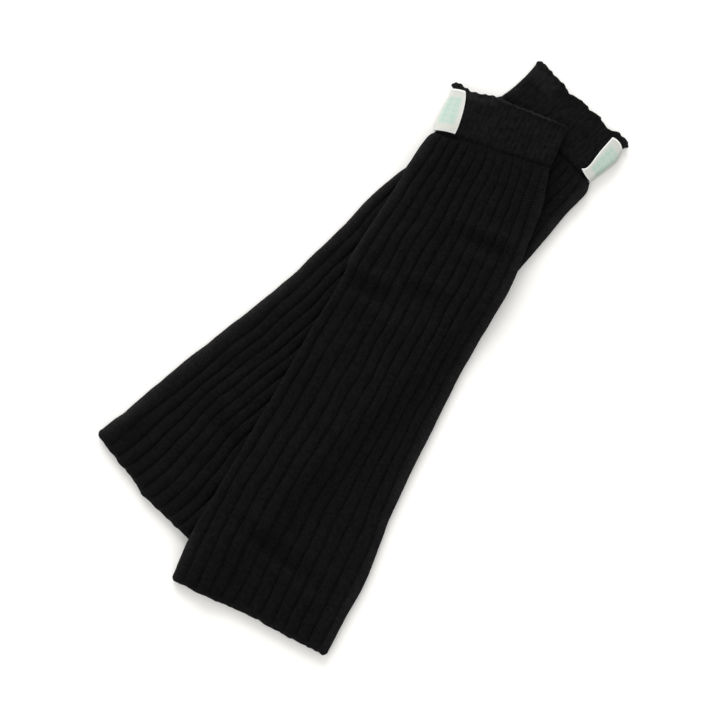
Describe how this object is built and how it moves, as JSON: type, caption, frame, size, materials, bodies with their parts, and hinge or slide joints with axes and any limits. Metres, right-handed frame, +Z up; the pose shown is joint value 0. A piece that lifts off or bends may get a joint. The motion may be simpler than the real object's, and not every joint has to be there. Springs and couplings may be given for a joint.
{
  "type": "pair of leg warmers",
  "caption": "Rib-knit leg warmers laid flat and crossed: open wide-rib tubes with narrower fine-rib elastic cuffs and small labels folded round the cuffs' sides.",
  "frame": {"origin": "on the surface that the pair rests on, under the middle of its outline", "axes": "+Y runs between the crossed legs from the hems to the cuffs, +Z is up, +X is to the right seen from above"},
  "size_m": [0.2288, 0.4588, 0.0142],
  "materials": {
    "rib_knit": "matte wide-rib knit",
    "cuff_knit": "matte fine-rib elastic knit",
    "label_weave": "smooth woven tape"
  },
  "bodies": {
    "root": {"lower_leg": "rib_knit", "lower_cuff": "cuff_knit", "lower_label": "label_weave", "upper_leg": "rib_knit", "upper_cuff": "cuff_knit", "upper_label": "label_weave"}
  },
  "joints": []
}
